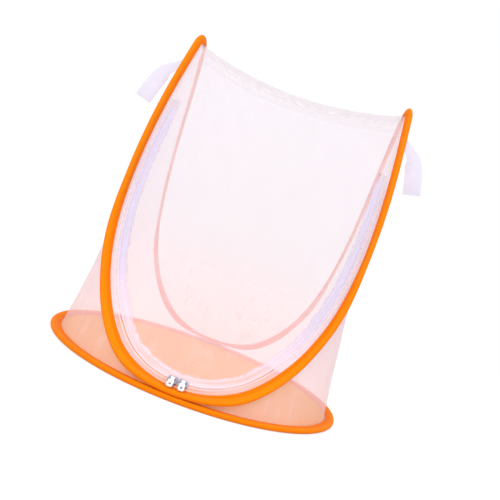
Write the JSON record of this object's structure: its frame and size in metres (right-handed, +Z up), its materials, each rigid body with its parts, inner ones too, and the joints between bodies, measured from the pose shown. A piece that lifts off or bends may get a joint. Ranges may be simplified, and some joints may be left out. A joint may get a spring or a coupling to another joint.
{
  "type": "pop-up insect cage",
  "caption": "Folding mesh cage for insects: a saddle-shaped spring hoop on a round base ring, net walls, and a zip door with pull tabs.",
  "frame": {"origin": "on the ground under the middle of the base ring", "axes": "+Z up, the zip door faces -Y, +X to the right of someone who looks at the door"},
  "size_m": [0.3298, 0.3298, 0.37],
  "materials": {
    "orange_binding": "bright orange woven polyester tape, folded and stitched",
    "spring_wire": "hardened spring steel wire",
    "ferrule_steel": "crimped plain steel sleeve",
    "floor_cloth": "light orange woven polyester",
    "net": "fine white knitted mesh, see-through",
    "zip_tape": "pale lavender-white woven zip tape",
    "zip_coil": "pale nylon coil",
    "zip_metal": "blue-grey plated zinc",
    "tab_plastic": "white moulded plastic",
    "ribbon_cloth": "pale satin ribbon"
  },
  "bodies": {
    "frame": {"base_binding": "orange_binding", "base_wire": "spring_wire", "base_wire_ferrule": "ferrule_steel", "floor_panel": "floor_cloth", "hoop_binding": "orange_binding", "hoop_wire": "spring_wire", "hoop_wire_ferrule": "ferrule_steel", "side_panel_left": "net", "side_panel_right": "net", "back_panel": "net", "front_top_panel": "net", "roof_panel": "net", "zip_tape_outer": "zip_tape", "zip_coil_outer": "zip_coil", "zip_stop_outer_left": "zip_metal", "zip_stop_outer_right": "zip_metal"},
    "door": {"door_panel": "net", "zip_tape_inner": "zip_tape", "zip_coil_inner": "zip_coil", "zip_stop_inner_left": "zip_metal", "zip_stop_inner_right": "zip_metal"},
    "slider_left": {"slider_left": "zip_metal"},
    "slider_right": {"slider_right": "zip_metal"},
    "tab_left": {"pull_tab_left": "tab_plastic"},
    "tab_right": {"pull_tab_right": "tab_plastic"},
    "ribbon_left": {"ribbon_left": "ribbon_cloth"},
    "ribbon_right": {"ribbon_right": "ribbon_cloth"}
  },
  "joints": [
    {"name": "door_swing", "type": "hinge", "parent": "frame", "child": "door", "pos_m": [0, -0.0479, 0.27173], "axis": [-1, 0, 0], "range_deg": [0, 120], "deforming": ["zip_tape_inner", "zip_coil_inner"]},
    {"name": "slider_left_travel", "type": "hinge", "parent": "frame", "child": "slider_left", "pos_m": [0, -0.09731, 0.07062], "axis": [0, 0.7373, -0.6756], "range_deg": [0, 36]},
    {"name": "slider_right_travel", "type": "hinge", "parent": "frame", "child": "slider_right", "pos_m": [0, -0.09731, 0.07062], "axis": [0, -0.7373, 0.6756], "range_deg": [0, 36]},
    {"name": "tab_left_swing", "type": "hinge", "parent": "slider_left", "child": "tab_left", "pos_m": [-0.0046, -0.15438, 0.01567], "axis": [-0.9983, 0.0392, 0.0428], "range_deg": [0, 150]},
    {"name": "tab_right_swing", "type": "hinge", "parent": "slider_right", "child": "tab_right", "pos_m": [0.0046, -0.15438, 0.01567], "axis": [-0.9983, -0.0392, -0.0428], "range_deg": [0, 150]},
    {"name": "ribbon_left_swing", "type": "hinge", "parent": "frame", "child": "ribbon_left", "pos_m": [-0.13466, -0.03802, 0.31124], "axis": [-0.0102, -0.3385, -0.9409], "range_deg": [0, 50]},
    {"name": "ribbon_right_swing", "type": "hinge", "parent": "frame", "child": "ribbon_right", "pos_m": [0.13466, -0.03802, 0.31124], "axis": [-0.0102, 0.3385, 0.9409], "range_deg": [0, 50]}
  ]
}
